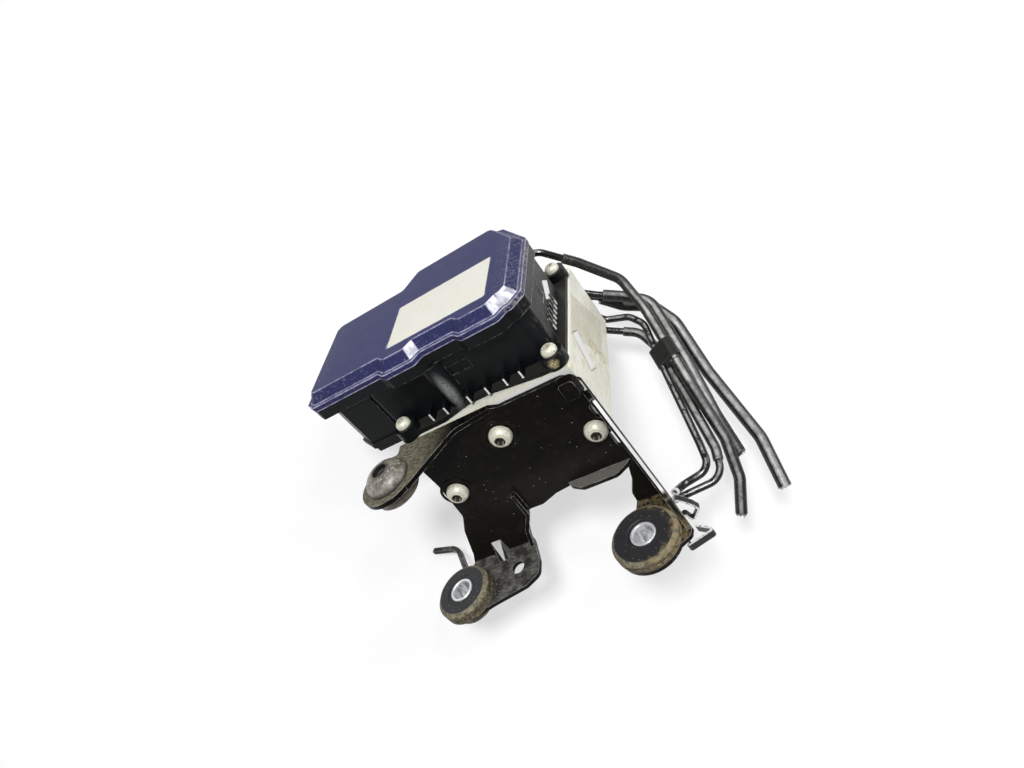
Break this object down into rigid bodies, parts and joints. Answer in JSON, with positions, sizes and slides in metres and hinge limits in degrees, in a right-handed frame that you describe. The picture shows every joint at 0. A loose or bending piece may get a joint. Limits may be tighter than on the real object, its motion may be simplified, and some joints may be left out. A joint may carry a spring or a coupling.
{
  "type": "abs brake module",
  "caption": "Anti-lock brake pump and control module: aluminium valve block with dark blue lidded control housing, black pressed bracket on rubber isolators, and cut brake pipes.",
  "frame": {"origin": "bolt point of the left lower isolator, on the upper face of its tab", "axes": "+X along the valve block toward the bracket flange, +Y from the bracket plate into the block, +Z out of the block through the control housing and lid"},
  "size_m": [0.238, 0.1823, 0.216],
  "materials": {
    "zinc_steel": "zinc plated",
    "core_iron": "laminated",
    "copper": "enamelled wire",
    "pipe_coating": "black coated steel",
    "seal_rubber": "matt",
    "housing_plastic": "moulded, dusty",
    "board_green": "solder mask",
    "pin_brass": "tinned",
    "ground_steel": "ground",
    "lid_navy": "worn satin",
    "isolator_rubber": "matt, dusty",
    "sleeve_steel": "bright zinc",
    "pipe_sleeve_rubber": "glossy black",
    "spring_steel": "bright edges",
    "carbon": "matt",
    "can_steel": "drawn, dulled",
    "magnet_ferrite": "matt",
    "bracket_paint": "black, bare at the cut edges",
    "coil_plastic": "moulded",
    "block_aluminium": "machined, stained"
  },
  "bodies": {
    "module": {"accumulator_caps": "zinc_steel", "bare_pipe": "pipe_coating", "block_seal": "seal_rubber", "bracket_screws": "zinc_steel", "brush_holder": "housing_plastic", "circuit_board": "board_green", "connector_pins": "pin_brass", "control_housing": "housing_plastic", "front_bearing": "ground_steel", "housing_lid": "lid_navy", "housing_screws": "zinc_steel", "left_lower_isolator": "isolator_rubber", "left_lower_sleeve": "sleeve_steel", "left_upper_isolator": "isolator_rubber", "left_upper_sleeve": "sleeve_steel", "lower_pipe": "pipe_coating", "lower_pipe_sleeve": "pipe_sleeve_rubber", "lower_spring_clip": "spring_steel", "middle_pipe": "pipe_coating", "middle_pipe_sleeve": "pipe_sleeve_rubber", "motor_brushes": "carbon", "motor_can": "can_steel", "motor_magnets": "magnet_ferrite", "motor_screws": "zinc_steel", "mounting_bracket": "bracket_paint", "outer_pipe": "pipe_coating", "outer_pipe_sleeve": "pipe_sleeve_rubber", "pipe_clip": "housing_plastic", "pump_cylinders": "ground_steel", "pump_pistons": "ground_steel", "pump_plugs": "zinc_steel", "rear_bearing": "ground_steel", "right_lower_isolator": "isolator_rubber", "right_lower_sleeve": "sleeve_steel", "solenoid_coils": "coil_plastic", "solenoid_valves": "ground_steel", "tube_nuts": "zinc_steel", "upper_pipe": "pipe_coating", "upper_pipe_end_sleeve": "pipe_sleeve_rubber", "upper_pipe_sleeve": "pipe_sleeve_rubber", "upper_spring_clip": "spring_steel", "valve_block": "block_aluminium"},
    "rotor": {"motor_shaft": "ground_steel", "armature_core": "core_iron", "armature_windings": "copper", "commutator": "copper", "eccentric_bearing": "ground_steel"}
  },
  "joints": [
    {"name": "motor_spin", "type": "hinge", "parent": "module", "child": "rotor", "pos_m": [0.08, 0.083, 0.035], "axis": [0, 0, 1], "continuous": true}
  ]
}
